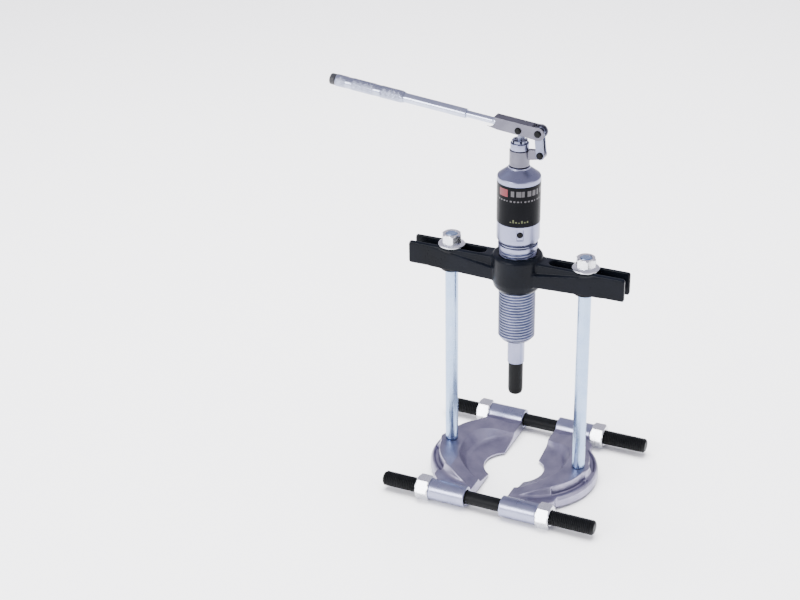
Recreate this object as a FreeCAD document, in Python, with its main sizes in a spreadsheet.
"""Hydraulic gear puller: hand-pumped ram in a slotted yoke, two pull rods and a two-half bearing separator.

Frame: +Z up along the ram's axis, the yoke lies along X, the separator's studs lie along X at +Y and -Y.
The origin is on the ram's axis, on the plane that the separator's nuts stand on. Millimetres.
"""
import FreeCAD, Part
import math
import os
import re

import Sketcher

# ---------------------------------------------------------------- driving dimensions
DIMENSIONS = [
    # separator studs, nuts and bosses
    ("stud_spacing", 170.0), ("stud_height", 12.0), ("stud_radius", 7.9), ("shank_radius", 7.1),
    ("stud_left", 114.5), ("stud_right", 121.6), ("stud_nut_flats", 24.0), ("stud_nut_height", 14.5),
    ("half_gap", 19.7), ("boss_radius", 11.2), ("boss_length", 40.4), ("fit_clearance", 0.06),
    # separator halves
    ("disc_radius", 72.0), ("disc_floor", 2.0), ("rim_top", 24.0),
    ("notch_radius", 27.0), ("dish_wall", 51.0), ("dish_top", 59.0), ("web_top", 15.0),
    ("rod_boss_radius", 12.0), ("flank_radius", 63.5), ("trough_floor", 12.6), ("trough_inner", 63.0),
    ("trough_outer", 67.6), ("trough_start", 7.0), ("trough_sweep", 43.0), ("notch_offset", 14.0),
    ("boss_wall_clear", 14.0),
    # pull rods and their fasteners
    ("rod_spread", 73.0), ("rod_radius", 6.8), ("rod_thread", 6.0), ("rod_engagement", 15.0),
    ("top_nut_flats", 19.0), ("top_nut_height", 9.8), ("top_nut_turn", -4.0),
    ("washer_radius", 14.0), ("washer_height", 3.0), ("low_washer_radius", 11.5),
    ("low_washer_height", 2.0),
    # yoke
    ("yoke_top", 258.4), ("yoke_height", 25.0), ("yoke_half_length", 117.0), ("yoke_half_width", 11.0),
    ("slot_half_width", 6.6), ("slot_start", 41.0), ("hub_radius", 26.0), ("hub_top", 263.0),
    ("hub_bottom", 223.6), ("flare_half_width", 16.0), ("flare_length", 94.0), ("flare_flat", 16.0),
    ("yoke_edge", 2.2),
    # ram barrel and what is inside it
    ("barrel_radius", 19.05), ("thread_pitch", 3.175), ("thread_depth", 1.75), ("barrel_bottom", 165.0),
    ("barrel_top", 296.0), ("bore_radius", 13.5), ("bore_top", 286.0), ("collar_ring_radius", 20.4),
    ("guide_top", 181.0), ("spindle_radius", 8.9), ("spindle_bottom", 136.0), ("piston_bottom", 268.0),
    ("piston_top", 284.0), ("tip_radius", 7.8), ("tip_bottom", 98.2), ("tip_stem", 4.0),
    ("spring_radius", 11.5), ("spring_wire", 1.1), ("spring_turns", 9.0),
    # reservoir and pump
    ("reservoir_radius", 22.0), ("reservoir_wall", 1.6), ("reservoir_bottom", 277.0),
    ("reservoir_shoulder", 349.0), ("label_low", 300.0), ("label_top", 343.3), ("label_thickness", 0.2),
    ("neck_radius", 11.0), ("neck_low", 356.0), ("neck_top", 358.4), ("pump_tube_radius", 6.5),
    ("pump_tube_top", 383.0), ("pump_chamber_floor", 319.0), ("plunger_foot", 323.0),
    ("plunger_radius", 2.45), ("collar_radius", 10.2), ("collar_low", 359.3), ("collar_top", 375.7),
    ("cap_radius", 9.4), ("cap_top", 383.2), ("gland_radius", 7.9), ("gland_top", 386.0),
    ("valve_angle", -64.0), ("valve_height", 291.5),
    # lever linkage
    ("lever_pin_x", 20.5), ("lever_pin_z", 396.5), ("ear_pin_x", 22.8), ("ear_pin_z", 373.6),
    ("ear_eye", 4.6), ("ear_thickness", 4.6), ("link_eye", 4.7), ("link_half_width", 4.3),
    ("link_span", 8.8),
    ("plunger_pin_z", 396.9), ("link_pin_radius", 2.5), ("plunger_pin_radius", 2.3), ("loose_hole", 2.95),
    ("lever_tilt", 6.0), ("lever_half_width", 5.8), ("lever_wall", 1.2), ("lever_arm", 20.4),
    ("lever_drop", 1.75), ("lever_end_radius", 7.0),
    # handle, measured back from the lever's pin along the handle
    ("stub_radius", 3.5), ("tube_start", 77.3), ("tube_radius", 4.9), ("grip_start", 145.2),
    ("grip_radius", 6.3), ("grip_end", 221.6), ("plug_end", 228.3), ("band_sink", 0.35),
    ("band_one_low", 170.6), ("band_one_high", 179.2), ("band_two_low", 202.7), ("band_two_high", 210.7),
    # pocket and hole of the release screw
    ("pocket_depth", 1.0), ("pocket_width", 6.6), ("pocket_height", 12.4), ("valve_hole_radius", 3.0),
    # lever plate's outline, from its pin
    ("lever_top", 6.4), ("lever_back", 50.0), ("mouth_radius", 6.2), ("mouth_back", 51.4),
    ("mouth_rise", 1.8),
    ("lever_toe", 53.0), ("lever_toe_drop", 4.6), ("lever_belly", 42.0), ("lever_belly_drop", 6.2),
]

doc = FreeCAD.newDocument("gear_puller")
sheet = doc.addObject("Spreadsheet::Sheet", "Dims")
VALUES = dict(DIMENSIONS)
for row, (alias, value) in enumerate(DIMENSIONS, start=1):
    sheet.set(f"A{row}", alias)
    sheet.set(f"B{row}", str(value))
    sheet.setAlias(f"B{row}", alias)
doc.recompute()

SUBPARTS = []
# Outlines are first drawn this far from the sketch's origin, and the sheet then pulls them into place.
START = 80.0


# ---------------------------------------------------------------- helpers
def bound(text):
    """Turn 'barrel_radius - 2' into an expression on the sheet's cells."""
    return re.sub(r"[a-z_]+[a-z]", lambda word: "Dims." + word[0] if word[0] in VALUES else word[0],
                  str(text))


def sub_part(item, label):
    """Register a finished document object as one named piece of the puller."""
    item.Label = label
    SUBPARTS.append(item)
    return item


def place(item, x="0", y="0", z="0", axis=None, angle="0"):
    """Bind an object's position, and its turn about one axis, to the sheet."""
    for key, text in zip("xyz", (x, y, z)):
        item.setExpression("Placement.Base." + key, bound(text))
    if axis is not None:
        item.Placement.Rotation = FreeCAD.Rotation(FreeCAD.Vector(*axis), 1)
        item.setExpression("Placement.Rotation.Angle", bound(angle))
    return item


def new_body(name):
    return doc.addObject("PartDesign::Body", name)


def sketch_on(body, role, height="0"):
    """A sketch on one of the body's own origin planes, lifted along that plane's normal."""
    sketch = body.newObject("Sketcher::SketchObject", body.Name + "_sketch")
    plane = next(item for item in body.Origin.OriginFeatures if item.Role == role)
    sketch.AttachmentSupport = (plane, "")
    sketch.MapMode = "FlatFace"
    sketch.setExpression("AttachmentOffset.Base.z", bound(height))
    return sketch


def fix_point(sketch, geometry, point, x, y):
    """Tie a point to two distances from the sketch's origin."""
    for kind, text in (("DistanceX", x), ("DistanceY", y)):
        index = sketch.addConstraint(Sketcher.Constraint(kind, -1, 1, geometry, point, START))
        sketch.setExpression(f"Constraints[{index}]", bound(text))


def add_polygon(sketch, corners):
    """A closed outline whose every corner is bound to the sheet."""
    count = len(corners)
    first = sketch.GeometryCount
    turn = 2 * math.pi / count
    seed = [FreeCAD.Vector(START * math.cos(turn * k), START * math.sin(turn * k), 0) for k in range(count)]
    for index in range(count):
        sketch.addGeometry(Part.LineSegment(seed[index], seed[(index + 1) % count]), False)
    for index in range(count):
        sketch.addConstraint(Sketcher.Constraint("Coincident", first + index, 2,
                                                 first + (index + 1) % count, 1))
    for index, (x, y) in enumerate(corners):
        fix_point(sketch, first + index, 1, x, y)


def add_circle(sketch, x, y, radius):
    index = sketch.addGeometry(Part.Circle(FreeCAD.Vector(START, START, 0), FreeCAD.Vector(0, 0, 1), 10),
                               False)
    fix_point(sketch, index, 3, x, y)
    size = sketch.addConstraint(Sketcher.Constraint("Radius", index, 10))
    sketch.setExpression(f"Constraints[{size}]", bound(radius))


def pad(body, sketch, length, both_ways=False):
    feature = body.newObject("PartDesign::Pad", body.Name + "_pad")
    feature.Profile = sketch
    feature.setExpression("Length", bound(length))
    feature.Midplane = both_ways
    return feature


def pocket(body, sketch, length, both_ways=False, backwards=False):
    feature = body.newObject("PartDesign::Pocket", body.Name + "_pocket")
    feature.Profile = sketch
    feature.setExpression("Length", bound(length))
    feature.Midplane = both_ways
    feature.Reversed = backwards
    return feature


def revolve(body, sketch, angle=360.0, both_ways=False, cut=False):
    kind = "Groove" if cut else "Revolution"
    feature = body.newObject("PartDesign::" + kind, body.Name + "_" + kind.lower())
    feature.Profile = sketch
    feature.ReferenceAxis = (sketch, ["V_Axis"])
    feature.Angle = angle
    feature.Midplane = both_ways
    return feature


def turned(name, corners):
    """A lathe part: corners are (radius, height) pairs turned about the vertical axis."""
    body = new_body(name)
    sketch = sketch_on(body, "XZ_Plane")
    add_polygon(sketch, corners)
    revolve(body, sketch)
    return body


def ring(name, inner, outer, low, high):
    return turned(name, [(inner, low), (outer, low), (outer, high), (inner, high)])


def bar_along_x(name, steps):
    """A round bar along X: steps are (position, radius) pairs, closed down to the axis."""
    start, end = steps[0][0], steps[-1][0]
    body = new_body(name)
    sketch = sketch_on(body, "XZ_Plane")
    add_polygon(sketch, [(start, "0")] + [(x, radius) for x, radius in steps] + [(end, "0")])
    feature = revolve(body, sketch)
    feature.ReferenceAxis = (sketch, ["H_Axis"])
    return body


def cross_pin(name, radius, half_span):
    """A pin along Y with a low head at its -Y end, and room for a clip at the other end."""
    body = new_body(name)
    shaft = sketch_on(body, "XZ_Plane")
    add_circle(shaft, "0", "0", radius)
    pad(body, shaft, f"2 * ({half_span} + 1.8)", both_ways=True)
    head = sketch_on(body, "XZ_Plane", half_span + " + 0.1")
    add_circle(head, "0", "0", radius + " + 1.1")
    pad(body, head, "1.7")
    return body


def clip_ring(name, radius, half_span):
    """The spring clip that keeps a cross pin in, at its +Y end."""
    body = new_body(name)
    face = sketch_on(body, "XZ_Plane", f"-({half_span}) - 1.0")
    add_circle(face, "0", "0", radius + " + 1.5")
    add_circle(face, "0", "0", radius)
    pad(body, face, "0.9")
    return body


def hex_nut(name, role, flats, height, bore):
    """A hexagon nut with its first corners on the sketch's X axis and both ends chamfered."""
    body = new_body(name)
    outline = sketch_on(body, role)
    half, short, corner = f"{flats} / 2", f"{flats} / 3.4641", f"{flats} / 1.73205"
    add_polygon(outline, [(corner, "0"), (short, half), ("-" + short, half),
                          ("-" + corner, "0"), ("-" + short, "-" + half), (short, "-" + half)])
    pad(body, outline, height)
    hole = sketch_on(body, role)
    add_circle(hole, "0", "0", bore)
    pocket(body, hole, height, backwards=True)
    bevel = sketch_on(body, "XZ_Plane")
    axis_is_x = role == "YZ_Plane"
    for end, inward in (("0", "1.6"), (height, height + " - 1.6")):
        corners = [(corner + " + 0.5", end), (corner + " - 1.9", end), (corner + " + 0.5", inward)]
        add_polygon(bevel, [(z, r) for r, z in corners] if axis_is_x else corners)
    cut = revolve(body, bevel, cut=True)
    cut.ReferenceAxis = (bevel, ["H_Axis" if axis_is_x else "V_Axis"])
    return body


def combine(kind, name, items):
    """A Part boolean of several objects: MultiFuse or Cut."""
    result = doc.addObject("Part::" + kind, name)
    if kind == "Cut":
        result.Base, result.Tool = items
    else:
        result.Shapes = items
    return result


# ---------------------------------------------------------------- yoke
def slot_cutter(side):
    """An open-ended, round-bottomed slot along one arm of the yoke."""
    sign = "" if side == "right" else "-"
    body = new_body("slot_" + side)
    sketch = sketch_on(body, "XY_Plane", "hub_bottom - 5")
    far = sign + "(yoke_half_length + 5)"
    add_polygon(sketch, [(sign + "slot_start", "-slot_half_width"), (far, "-slot_half_width"),
                         (far, "slot_half_width"), (sign + "slot_start", "slot_half_width")])
    pad(body, sketch, "60")
    end = doc.addObject("Part::Cylinder", "slot_end_" + side)
    end.setExpression("Radius", bound("slot_half_width"))
    end.Height = 60
    place(end, x=sign + "slot_start", z="hub_bottom - 5")
    return [body, end]


def make_yoke():
    rail = new_body("yoke_rail")
    outline = sketch_on(rail, "XY_Plane", "yoke_top - yoke_height")
    width, length = "yoke_half_width", "yoke_half_length"
    add_polygon(outline, [("-" + length, "-" + width), (length, "-" + width),
                          (length, width), ("-" + length, width)])
    pad(rail, outline, "yoke_height")
    doc.recompute()
    level = [f"Edge{index}" for index, edge in enumerate(rail.Tip.Shape.Edges, start=1)
             if edge.BoundBox.ZLength < 0.001]
    rounded = rail.newObject("PartDesign::Fillet", "yoke_rail_fillet")
    rounded.Base = (rail.Group[1], level)
    rounded.setExpression("Radius", bound("yoke_edge"))

    flare = new_body("yoke_flare")
    plan = sketch_on(flare, "XY_Plane", "yoke_top - yoke_height")
    wide, reach = "flare_half_width", "flare_length"
    add_polygon(plan, [("-" + reach, "-" + width), ("-flare_flat", "-" + wide), ("flare_flat", "-" + wide),
                       (reach, "-" + width),
                       (reach, width), ("flare_flat", wide), ("-flare_flat", wide), ("-" + reach, width)])
    pad(flare, plan, "yoke_height")
    for side in ("", "-"):
        slope = sketch_on(flare, "XZ_Plane")
        near, far = side + "flare_flat", side + "(flare_length + 6)"
        add_polygon(slope, [(near, "yoke_top - 12"), (far, "yoke_top - 1.5"), (far, "yoke_top + 2"),
                            (near, "yoke_top + 2")])
        pocket(flare, slope, "4 * flare_half_width", both_ways=True)
    hub = turned("yoke_hub", [("0", "hub_bottom"), ("hub_radius - 4.6", "hub_bottom"),
                              ("hub_radius - 1.4", "hub_bottom + 4"), ("hub_radius", "hub_bottom + 10"),
                              ("hub_radius", "hub_top - 2.5"), ("hub_radius - 2", "hub_top"),
                              ("0", "hub_top")])
    casting = combine("MultiFuse", "yoke_casting", [rail, flare, hub])
    bore = doc.addObject("Part::Cylinder", "yoke_bore")
    bore.setExpression("Radius", bound("barrel_radius + fit_clearance"))
    bore.Height = 60
    place(bore, z="hub_bottom - 5")
    cutters = combine("MultiFuse", "yoke_cutters", [bore] + slot_cutter("left") + slot_cutter("right"))
    sub_part(combine("Cut", "yoke", (casting, cutters)), "yoke")


# ---------------------------------------------------------------- bearing separator
def rim_trough(side, where, centre):
    """The forged hollow outside the rim's crest, from the rod's boss towards one stud boss."""
    body = new_body(f"rim_trough_{side}_{where}")
    section = sketch_on(body, "XZ_Plane")
    add_polygon(section, [("trough_inner - 0.6", "rim_top + 1"), ("trough_inner", "trough_floor"),
                          ("trough_outer", "trough_floor"), ("trough_outer + 1.2", "rim_top + 1")])
    revolve(body, section, angle=VALUES["trough_sweep"], both_ways=True)
    turn = {("right", "front"): "360 -", ("right", "back"): "", ("left", "front"): "180 +", ("left", "back"): "180 -"}
    return place(body, x=centre, axis=(0, 0, 1),
                 angle=turn[side, where] + " (trough_start + trough_sweep / 2)")


def make_separator(side):
    """One half: a dished half disc with a raised rim, two stud bosses and a boss for the pull rod."""
    sign = "" if side == "right" else "-"
    centre = sign + "half_gap"
    disc = new_body("disc_" + side)
    outline = sketch_on(disc, "XZ_Plane")
    add_polygon(outline, [("0", "disc_floor"), ("disc_radius - 1", "disc_floor"),
                          ("disc_radius", "disc_floor + 1"),
                          ("disc_radius", "disc_floor + 9"), ("disc_radius - 2", "rim_top - 9.5"),
                          ("disc_radius - 6", "rim_top - 8"), ("flank_radius", "rim_top"),
                          ("0", "rim_top")])
    revolve(disc, outline, angle=180.0, both_ways=True)
    place(disc, x=centre, axis=(0, 0, 1), angle="0" if side == "right" else "180")

    lugs = new_body("lugs_" + side)
    bosses = sketch_on(lugs, "YZ_Plane")
    for y in ("stud_spacing / 2", "-stud_spacing / 2"):
        add_circle(bosses, y, "stud_height", "boss_radius")
    pad(lugs, bosses, "boss_length")
    web = sketch_on(lugs, "XY_Plane", "disc_floor")
    half, inner = "stud_spacing / 2", "(stud_spacing / 2 - boss_wall_clear)"
    add_polygon(web, [("0", "-" + half), ("boss_length - 4", "-" + half), ("boss_length - 1", "-" + inner),
                      ("boss_length + 8", "-60"), ("boss_length + 8", "60"), ("boss_length - 1", inner),
                      ("boss_length - 4", half), ("0", half)])
    pad(lugs, web, "web_top - disc_floor")
    place(lugs, x=centre, axis=(0, 0, 1), angle="0" if side == "right" else "180")

    rod_boss = doc.addObject("Part::Cylinder", "rod_boss_" + side)
    rod_boss.setExpression("Radius", bound("rod_boss_radius"))
    rod_boss.setExpression("Height", bound("rim_top - disc_floor"))
    place(rod_boss, x=sign + "rod_spread", z="disc_floor")
    casting = combine("MultiFuse", "separator_casting_" + side, [disc, lugs, rod_boss])

    dish = turned("dish_" + side, [("0", "disc_floor + 1.2"), ("notch_radius", "disc_floor + 1.6"),
                                   ("dish_wall", "disc_floor + 7"), ("dish_wall + 2.5", "disc_floor + 9.5"),
                                   ("dish_top", "rim_top - 1"), ("dish_top + 1.5", "rim_top + 1"),
                                   ("0", "rim_top + 1")])
    notch = doc.addObject("Part::Cylinder", "notch_" + side)
    notch.setExpression("Radius", bound("notch_radius"))
    notch.Height = 40
    place(notch, x=sign + "(half_gap - notch_offset)", z="-5")
    fall = new_body("rim_fall_" + side)
    slope = sketch_on(fall, "XZ_Plane")
    add_polygon(slope, [("-1", "web_top"), ("6", "web_top"), ("32", "rim_top"), ("32", "rim_top + 6"),
                        ("-1", "rim_top + 6")])
    pad(fall, slope, "2 * (stud_spacing / 2 - boss_radius - 1)", both_ways=True)
    place(fall, x=centre, axis=(0, 0, 1), angle="0" if side == "right" else "180")
    bores = new_body("stud_bores_" + side)
    circles = sketch_on(bores, "YZ_Plane")
    for y in ("stud_spacing / 2", "-stud_spacing / 2"):
        add_circle(circles, y, "stud_height", "stud_radius + fit_clearance")
    pad(bores, circles, "6 * boss_length", both_ways=True)
    rod_hole = doc.addObject("Part::Cylinder", "rod_hole_" + side)
    rod_hole.setExpression("Radius", bound("rod_thread"))
    rod_hole.setExpression("Height", bound("rod_engagement + 10"))
    place(rod_hole, x=sign + "rod_spread", z="rim_top - rod_engagement")
    troughs = [rim_trough(side, where, centre) for where in ("front", "back")]
    cutters = combine("MultiFuse", "separator_cutters_" + side, [dish, notch, fall, bores, rod_hole] + troughs)
    sub_part(combine("Cut", "separator_" + side, (casting, cutters)), "separator_" + side)


def make_studs():
    end_left, end_right = "-stud_left", "stud_right"
    for name, y in (("stud_front", "-stud_spacing / 2"), ("stud_back", "stud_spacing / 2")):
        stud = bar_along_x(name, [
            (end_left, "stud_radius - 2"), (end_left + " + 2", "stud_radius"),
            ("-half_gap - 1.5", "stud_radius"),
            ("-half_gap - 0.5", "shank_radius"), ("half_gap + 0.5", "shank_radius"),
            ("half_gap + 1.5", "stud_radius"), (end_right + " - 2", "stud_radius"),
            (end_right, "stud_radius - 2")])
        sub_part(place(stud, y=y, z="stud_height"), name)
    outer = "half_gap + boss_length"
    for end, y in (("front", "-stud_spacing / 2"), ("back", "stud_spacing / 2")):
        for side, x in (("left", f"-({outer}) - stud_nut_height"), ("right", outer)):
            nut = hex_nut(f"stud_nut_{end}_{side}", "YZ_Plane", "stud_nut_flats", "stud_nut_height",
                          "stud_radius + fit_clearance")
            sub_part(place(nut, x=x, y=y, z="stud_height"), f"stud_nut_{end}_{side}")


# ---------------------------------------------------------------- pull rods
def make_pull_rod(side):
    sign = "" if side == "right" else "-"
    x = sign + "rod_spread"
    shoulder = "yoke_top - yoke_height - low_washer_height"
    nut_low = "yoke_top + washer_height"
    nut_top = nut_low + " + top_nut_height"
    rod = turned("pull_rod_" + side, [
        ("0", "rim_top - rod_engagement + 1"), ("rod_thread", "rim_top - rod_engagement + 1"),
        ("rod_thread", "rim_top"), ("rod_radius - 0.5", "rim_top"), ("rod_radius", "rim_top + 1.5"),
        ("rod_radius", shoulder + " - 6"), ("rod_radius - 0.5", shoulder), ("rod_thread", shoulder),
        ("rod_thread", nut_top + " - 0.8"), ("rod_thread - 0.8", nut_top), ("0", nut_top)])
    sub_part(place(rod, x=x), "pull_rod_" + side)
    low = ring("low_washer_" + side, "rod_thread", "low_washer_radius", shoulder, "yoke_top - yoke_height")
    sub_part(place(low, x=x), "low_washer_" + side)
    high = turned("top_washer_" + side, [
        ("rod_thread", "yoke_top"), ("washer_radius", "yoke_top"), ("washer_radius", "yoke_top + 1.8"),
        ("washer_radius - 2.5", nut_low), ("rod_thread", nut_low)])
    sub_part(place(high, x=x), "top_washer_" + side)
    nut = hex_nut("top_nut_" + side, "XY_Plane", "top_nut_flats", "top_nut_height",
                  "rod_thread + fit_clearance")
    sub_part(place(nut, x=x, z=nut_low, axis=(0, 0, 1), angle="top_nut_turn"), "top_nut_" + side)


# ---------------------------------------------------------------- ram
def make_barrel():
    body = turned("ram_barrel", [
        ("bore_radius", "barrel_bottom"), ("barrel_radius - 3.5", "barrel_bottom"),
        ("barrel_radius", "barrel_bottom + 4"), ("barrel_radius", "reservoir_bottom - 1"),
        ("barrel_radius - thread_depth", "reservoir_bottom - 1"),
        ("barrel_radius - thread_depth", "barrel_top"),
        ("0", "barrel_top"), ("0", "bore_top"), ("bore_radius", "bore_top")])
    turn = sketch_on(body, "XZ_Plane")
    low = "barrel_bottom + 5"
    add_polygon(turn, [("barrel_radius - thread_depth", low + " + thread_pitch / 2"),
                       ("barrel_radius + 0.2", low + " + 0.2"),
                       ("barrel_radius + 0.2", low + " + thread_pitch - 0.2")])
    first = revolve(body, turn, cut=True)
    rows = body.newObject("PartDesign::LinearPattern", "thread_turns")
    rows.Originals = [first]
    rows.Direction = (next(item for item in body.Origin.OriginFeatures if item.Role == "Z_Axis"), [""])
    turns = int((VALUES["reservoir_bottom"] - 8 - VALUES["barrel_bottom"] - 5) / VALUES["thread_pitch"])
    rows.setExpression("Length", bound(f"thread_pitch * {turns - 1}"))
    rows.Occurrences = turns
    body.Tip = rows
    sub_part(body, "ram_barrel")


def make_ram():
    make_barrel()
    low, root = "reservoir_bottom", "barrel_radius - thread_depth"
    sub_part(ring("lock_ring", "barrel_radius", "collar_ring_radius", low + " - 7", low + " - 2.4"),
             "lock_ring")
    shell = turned("reservoir_turning", [
        (root, low), ("reservoir_radius - 2.6", low), ("reservoir_radius", low + " + 3.5"),
        ("reservoir_radius", "reservoir_shoulder - 2"), ("reservoir_radius - 1.2", "reservoir_shoulder"),
        ("neck_radius + 1.5", "neck_low"), ("neck_radius", "neck_low + 2"), ("neck_radius", "neck_top"),
        ("pump_tube_radius", "neck_top"), ("pump_tube_radius", "reservoir_shoulder + 3"),
        ("reservoir_radius - reservoir_wall", "reservoir_shoulder - 3"),
        ("reservoir_radius - reservoir_wall", low + " + 8"), (root, low + " + 8")])
    doc.recompute()
    turn = FreeCAD.Rotation(FreeCAD.Vector(0, 0, 1), VALUES["valve_angle"])
    outward = turn.multiply(FreeCAD.Rotation(FreeCAD.Vector(0, 1, 0), 90))
    level, skin = VALUES["valve_height"], VALUES["reservoir_radius"]
    recess = doc.addObject("Part::Box", "valve_recess")
    recess.Length = VALUES["pocket_depth"] + 2
    recess.Width, recess.Height = VALUES["pocket_width"], VALUES["pocket_height"]
    reach = FreeCAD.Vector(skin - VALUES["pocket_depth"], -VALUES["pocket_width"] / 2,
                           level - VALUES["pocket_height"] / 2)
    recess.Placement = FreeCAD.Placement(turn.multVec(reach), turn)
    tapped = doc.addObject("Part::Cylinder", "valve_hole")
    tapped.Radius, tapped.Height = VALUES["valve_hole_radius"], 8
    tapped.Placement = FreeCAD.Placement(turn.multVec(FreeCAD.Vector(skin - 5, 0, level)), outward)
    cutters = combine("MultiFuse", "valve_cutters", [recess, tapped])
    sub_part(combine("Cut", "reservoir_shell", (shell, cutters)), "reservoir_shell")
    label = ring("label_sleeve", "reservoir_radius", "reservoir_radius + label_thickness", "label_low",
                 "label_top")
    sub_part(label, "label_sleeve")
    sub_part(turned("pump_block", [
        ("0", "barrel_top"), (root, "barrel_top"), (root, "barrel_top + 12"),
        ("pump_tube_radius", "barrel_top + 14"),
        ("0", "barrel_top + 14")]), "pump_block")
    base = "barrel_top + 14"
    sub_part(turned("pump_tube", [
        ("0", base), ("pump_tube_radius", base), ("pump_tube_radius", "pump_tube_top - 3"),
        ("plunger_radius + fit_clearance", "pump_tube_top - 3"),
        ("plunger_radius + fit_clearance", "pump_chamber_floor"), ("0", "pump_chamber_floor")]),
        "pump_tube")
    sub_part(turned("cap_ring", [
        ("pump_tube_radius", "collar_top + 0.3"), ("cap_radius", "collar_top + 0.3"),
        ("cap_radius", "cap_top - 1"),
        ("cap_radius - 1", "cap_top"), ("gland_radius", "cap_top"), ("gland_radius", "cap_top - 3.2"),
        ("pump_tube_radius", "cap_top - 3.2")]), "cap_ring")
    make_gland()
    make_spindle()
    make_release_screw()


def make_gland():
    """The castellated nut that holds the plunger's seal down."""
    body = ring("gland_nut", "plunger_radius + fit_clearance", "gland_radius", "cap_top - 3.2", "gland_top")
    notch = sketch_on(body, "XY_Plane", "gland_top")
    add_polygon(notch, [("3.6", "-1.1"), ("gland_radius + 1", "-1.1"), ("gland_radius + 1", "1.1"),
                        ("3.6", "1.1")])
    first = pocket(body, notch, "2.2")
    around = body.newObject("PartDesign::PolarPattern", "gland_notches")
    around.Originals = [first]
    around.Axis = (next(item for item in body.Origin.OriginFeatures if item.Role == "Z_Axis"), [""])
    around.Angle = 360
    around.Occurrences = 6
    body.Tip = around
    sub_part(body, "gland_nut")


def make_spindle():
    clear, seal = "fit_clearance", "piston_bottom + 6"
    sub_part(turned("spindle", [
        ("0", "spindle_bottom + 15"), ("tip_stem + fit_clearance", "spindle_bottom + 15"),
        ("tip_stem + fit_clearance", "spindle_bottom"), ("spindle_radius - 1", "spindle_bottom"),
        ("spindle_radius", "spindle_bottom + 1"), ("spindle_radius", "piston_bottom"),
        ("6", "piston_bottom"), ("6", "piston_top"), ("0", "piston_top")]), "spindle")
    sub_part(turned("piston", [
        ("6", "piston_bottom"), (f"bore_radius - {clear}", "piston_bottom"),
        (f"bore_radius - {clear}", seal),
        ("bore_radius - 2.5", seal), ("bore_radius - 2.5", seal + " + 4"),
        (f"bore_radius - {clear}", seal + " + 4"),
        (f"bore_radius - {clear}", "piston_top"), ("6", "piston_top")]), "piston")
    sub_part(ring("piston_seal", "bore_radius - 2.5", f"bore_radius - {clear}", seal, seal + " + 4"),
             "piston_seal")
    sub_part(turned("guide_bush", [
        (f"spindle_radius + {clear}", "barrel_bottom"), ("bore_radius", "barrel_bottom"),
        ("bore_radius", "guide_top"),
        (f"spindle_radius + {clear}", "guide_top"), (f"spindle_radius + {clear}", "barrel_bottom + 8"),
        ("spindle_radius + 2", "barrel_bottom + 8"), ("spindle_radius + 2", "barrel_bottom + 5"),
        (f"spindle_radius + {clear}", "barrel_bottom + 5")]), "guide_bush")
    sub_part(ring("wiper_seal", f"spindle_radius + {clear}", "spindle_radius + 2", "barrel_bottom + 5",
                  "barrel_bottom + 8"), "wiper_seal")
    sub_part(turned("swivel_tip", [
        ("0", "tip_bottom"), ("tip_radius - 3", "tip_bottom"), ("tip_radius - 0.8", "tip_bottom + 1.4"),
        ("tip_radius", "tip_bottom + 4"), ("tip_radius", "spindle_bottom - 1"),
        ("tip_radius - 0.8", "spindle_bottom"),
        ("tip_stem", "spindle_bottom"), ("tip_stem", "spindle_bottom + 14.6"),
        ("0", "spindle_bottom + 14.6")]),
             "swivel_tip")
    make_spring()


def make_spring():
    """The return spring round the spindle: a round wire swept along a helix."""
    radius, wire = VALUES["spring_radius"], VALUES["spring_wire"]
    low = VALUES["guide_top"] + wire + 0.1
    high = VALUES["piston_bottom"] - wire - 0.1
    helix = Part.makeHelix((high - low) / VALUES["spring_turns"], high - low, radius)
    start = Part.Wire([Part.makeCircle(wire, FreeCAD.Vector(radius, 0, 0), FreeCAD.Vector(0, 1, 0))])
    spring = doc.addObject("Part::Feature", "return_spring")
    spring.Shape = Part.Wire(helix).makePipeShell([start], True, True)
    spring.Placement = FreeCAD.Placement(FreeCAD.Vector(0, 0, low), FreeCAD.Rotation())
    sub_part(spring, "return_spring")


def make_release_screw():
    """The slotted screw in the reservoir's recess that lets the oil back."""
    screw = turned("release_screw", [
        ("0", "-2.6"), ("2.2", "-2.6"), ("2.2", "-0.9"), ("2.9", "-0.9"), ("2.9", "0.5"), ("2.5", "0.9"),
        ("0", "0.9")])
    slot = sketch_on(screw, "XY_Plane", "0.9")
    add_polygon(slot, [("-3.2", "-0.45"), ("3.2", "-0.45"), ("3.2", "0.45"), ("-3.2", "0.45")])
    pocket(screw, slot, "0.8")
    around = FreeCAD.Rotation(FreeCAD.Vector(0, 0, 1), VALUES["valve_angle"])
    tip_over = FreeCAD.Rotation(FreeCAD.Vector(0, 1, 0), 90)
    reach = around.multVec(FreeCAD.Vector(VALUES["reservoir_radius"] - 0.9, 0, 0))
    screw.Placement = FreeCAD.Placement(reach + FreeCAD.Vector(0, 0, VALUES["valve_height"]),
                                        around.multiply(tip_over))
    sub_part(screw, "release_screw")


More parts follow.
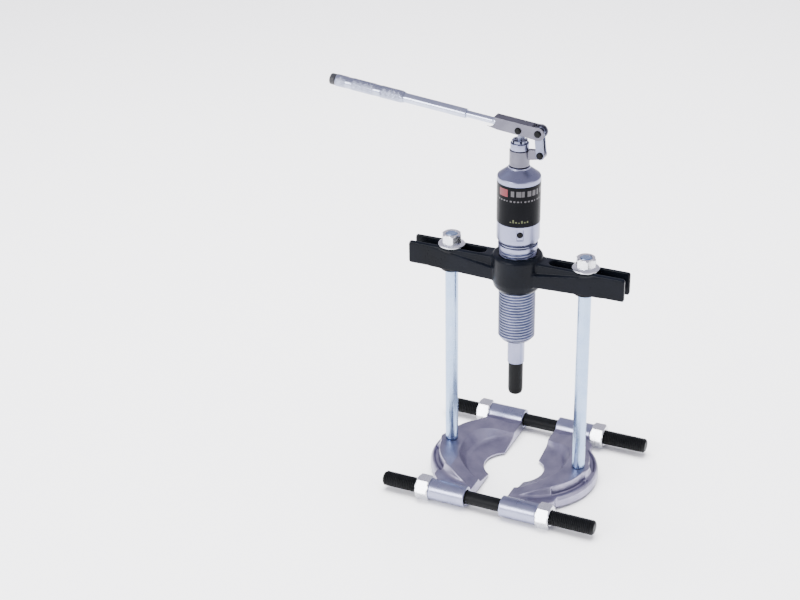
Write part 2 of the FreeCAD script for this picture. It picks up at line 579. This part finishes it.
# ---------------------------------------------------------------- pump head and lever
def make_pump_head():
    collar = new_body("collar_ring")
    circle = sketch_on(collar, "XY_Plane", "collar_low")
    add_circle(circle, "0", "0", "collar_radius")
    pad(collar, circle, "collar_top - collar_low")
    ear = new_body("collar_ear")
    outline = sketch_on(ear, "XZ_Plane")
    add_polygon(outline, [("6", "collar_low + 6"), ("collar_radius + 3", "collar_low + 7.6"),
                          ("ear_pin_x + 1", "ear_pin_z - ear_eye"), ("ear_pin_x", "ear_pin_z + ear_eye"),
                          ("collar_radius + 1.6", "collar_top + 1.7"),
                          ("collar_radius", "collar_top + 1.7"),
                          ("collar_radius", "collar_top"), ("6", "collar_top")])
    pad(ear, outline, "ear_thickness", both_ways=True)
    eye = sketch_on(ear, "XZ_Plane")
    add_circle(eye, "ear_pin_x", "ear_pin_z", "ear_eye")
    pad(ear, eye, "ear_thickness", both_ways=True)
    solid = combine("MultiFuse", "collar_solid", [collar, ear])
    bore = doc.addObject("Part::Cylinder", "collar_bore")
    bore.setExpression("Radius", bound("pump_tube_radius + fit_clearance"))
    bore.Height = 40
    place(bore, z="collar_low - 5")
    hole = doc.addObject("Part::Cylinder", "ear_hole")
    hole.setExpression("Radius", bound("link_pin_radius"))
    hole.Height = 40
    place(hole, x="ear_pin_x", y="20", z="ear_pin_z", axis=(1, 0, 0), angle="90")
    cutters = combine("MultiFuse", "collar_cutters", [bore, hole])
    sub_part(combine("Cut", "pump_collar", (solid, cutters)), "pump_collar")


def plate_outline(body, role_height, wide):
    """The lever plate's long side: a straight bar with a round end about the lever's pin."""
    outline = sketch_on(body, "XZ_Plane", role_height)
    add_polygon(outline, [("-lever_toe", "-lever_toe_drop"), ("-lever_belly", "-lever_belly_drop"),
                          ("-lever_arm", "-lever_belly_drop - 0.1"), ("0", "-lever_end_radius"),
                          ("0", "lever_end_radius"), ("-4", "lever_top"), ("-lever_back", "lever_top")])
    pad(body, outline, wide, both_ways=True)
    end = sketch_on(body, "XZ_Plane", role_height)
    add_circle(end, "0", "0", "lever_end_radius")
    pad(body, end, wide, both_ways=True)


def cross_cylinder(name, x, z, radius):
    """A drill along Y, for cutting pin holes."""
    drill = doc.addObject("Part::Cylinder", name)
    drill.setExpression("Radius", bound(radius))
    drill.Height = 60
    return place(drill, x=x, y="30", z=z, axis=(1, 0, 0), angle="90")


def make_link():
    """Two parallel plates from the collar's ear up to the lever."""
    bar = new_body("link_bar")
    rise = ("lever_pin_x - ear_pin_x", "lever_pin_z - ear_pin_z")
    body_outline = sketch_on(bar, "XZ_Plane")
    waist = "link_half_width"
    add_polygon(body_outline, [("-" + waist, "0"), (waist, "0"), (f"{rise[0]} + {waist}", rise[1]),
                               (f"{rise[0]} - {waist}", rise[1])])
    pad(bar, body_outline, "link_span", both_ways=True)
    for x, z in (("0", "0"), rise):
        eye = sketch_on(bar, "XZ_Plane")
        add_circle(eye, x, z, "link_eye")
        pad(bar, eye, "link_span", both_ways=True)
    gap = doc.addObject("Part::Box", "link_gap")
    gap.Length, gap.Height = 40, 60
    gap.setExpression("Width", bound("ear_thickness + 0.3"))
    place(gap, x="-20", y="-(ear_thickness + 0.3) / 2", z="-15")
    holes = [cross_cylinder("link_hole_low", "0", "0", "link_pin_radius + fit_clearance"),
             cross_cylinder("link_hole_high", rise[0], rise[1], "link_pin_radius")]
    cutters = combine("MultiFuse", "link_cutters", [gap] + holes)
    plates = combine("Cut", "link_plates", (bar, cutters))
    sub_part(place(plates, x="ear_pin_x", z="ear_pin_z"), "link_plates")


def make_pins():
    spots = {"ear_pin": ("ear_pin_x", "ear_pin_z", "link_pin_radius", "4.5"),
             "lever_pin": ("lever_pin_x", "lever_pin_z", "link_pin_radius", "lever_half_width"),
             "plunger_pin": ("0", "plunger_pin_z", "plunger_pin_radius", "lever_half_width")}
    for name, (x, z, radius, half_span) in spots.items():
        sub_part(place(cross_pin(name, radius, half_span), x=x, z=z), name)
        sub_part(place(clip_ring(name + "_clip", radius, half_span), x=x, z=z), name + "_clip")


def make_plunger():
    rod = turned("plunger_rod", [
        ("0", "plunger_foot"), ("plunger_radius", "plunger_foot"), ("plunger_radius", "plunger_pin_z - 3"),
        ("0", "plunger_pin_z - 3")])
    eye = new_body("plunger_eye")
    disc = sketch_on(eye, "XZ_Plane")
    add_circle(disc, "0", "plunger_pin_z", "4.4")
    pad(eye, disc, "6", both_ways=True)
    solid = combine("MultiFuse", "plunger_solid", [rod, eye])
    hole = cross_cylinder("plunger_hole", "0", "plunger_pin_z", "plunger_pin_radius")
    sub_part(combine("Cut", "pump_plunger", (solid, hole)), "pump_plunger")


def make_lever():
    """The pressed channel that straddles the link and the plunger, and the stub that carries the handle."""
    channel = new_body("channel")
    plate_outline(channel, "0", "2 * lever_half_width")
    inside = new_body("channel_inside")
    hollow = sketch_on(inside, "XZ_Plane")
    add_polygon(hollow, [("-60", "-10"), ("12", "-10"), ("12", "12"), ("-7", "12"),
                         ("-7", "lever_top - lever_wall"),
                         ("-60", "lever_top - lever_wall")])
    pad(inside, hollow, "2 * (lever_half_width - lever_wall)", both_ways=True)
    holes = [cross_cylinder("lever_hole", "0", "0", "link_pin_radius + fit_clearance"),
             cross_cylinder("plunger_slot", "-lever_arm", "-lever_drop", "loose_hole"),
             cross_cylinder("lever_mouth", "-mouth_back", "mouth_rise", "mouth_radius")]
    cutters = combine("MultiFuse", "channel_cutters", [inside] + holes)
    lever = combine("Cut", "lever_channel", (channel, cutters))
    stub = bar_along_x("handle_stub", [
        ("-tube_start - 27", "stub_radius - 0.8"), ("-tube_start - 26", "stub_radius"),
        ("-47", "stub_radius"),
        ("-47", "lever_half_width - lever_wall"), ("-34", "lever_half_width - lever_wall")])
    tube = bar_tube()
    grip = new_body("handle_grip")
    face = sketch_on(grip, "XZ_Plane")
    outline = [("-grip_end", "tube_radius"), ("-grip_start", "tube_radius"),
               ("-grip_start", "tube_radius + 0.4"), ("-grip_start - 3.6", "grip_radius")]
    for band in ("one", "two"):
        low, high = f"-band_{band}_low", f"-band_{band}_high"
        outline += [(low, "grip_radius"), (low, "grip_radius - band_sink"),
                    (high, "grip_radius - band_sink"),
                    (high, "grip_radius")]
    add_polygon(face, outline + [("-grip_end", "grip_radius")])
    revolve(grip, face).ReferenceAxis = (face, ["H_Axis"])
    plug = bar_along_x("handle_plug", [
        ("-plug_end", "grip_radius - 2"), ("-plug_end + 1.2", "grip_radius - 0.5"),
        ("-grip_end", "grip_radius - 0.5"),
        ("-grip_end", "3"), ("-grip_end + 10", "3")])
    for item, label in ((lever, "lever_channel"), (stub, "handle_stub"), (tube, "handle_tube"),
                        (grip, "handle_grip"), (plug, "handle_plug")):
        sub_part(place(item, x="lever_pin_x", z="lever_pin_z", axis=(0, 1, 0), angle="lever_tilt"), label)


def bar_tube():
    """The handle's tube: bored at one end for the stub and at the other for the plug."""
    body = new_body("handle_tube")
    face = sketch_on(body, "XZ_Plane")
    bore = "stub_radius + fit_clearance"
    add_polygon(face, [("-grip_end", "3"), ("-grip_end + 10", "3"), ("-grip_end + 10", "0"),
                       ("-tube_start - 29", "0"),
                       ("-tube_start - 29", bore), ("-tube_start", bore),
                       ("-tube_start", "tube_radius - 0.6"),
                       ("-tube_start - 1", "tube_radius"), ("-grip_end", "tube_radius")])
    revolve(body, face).ReferenceAxis = (face, ["H_Axis"])
    return body


# ---------------------------------------------------------------- build, check and write
make_yoke()
for hand in ("left", "right"):
    make_separator(hand)
    make_pull_rod(hand)
make_studs()
make_ram()
make_pump_head()
make_link()
make_pins()
make_plunger()
make_lever()
doc.recompute()

for item in doc.Objects:
    if "Invalid" in item.State or "Error" in item.State:
        raise RuntimeError(f"{item.Name} did not build: {item.State}")
os.makedirs("parts", exist_ok=True)
for item in SUBPARTS:
    shape = item.Shape
    if shape.isNull() or not shape.isValid() or shape.Volume < 0.1:
        raise RuntimeError(f"{item.Label} has no valid solid")
    shape.exportStep(f"parts/{item.Label}.step")
    box = shape.BoundBox
    print(f"{item.Label:24s} solids {len(shape.Solids)}  volume {shape.Volume:10.1f}  "
          f"x {box.XMin:7.1f} {box.XMax:7.1f}  y {box.YMin:6.1f} {box.YMax:6.1f}  z {box.ZMin:6.1f} {box.ZMax:6.1f}")
print(len(SUBPARTS), "sub-parts")
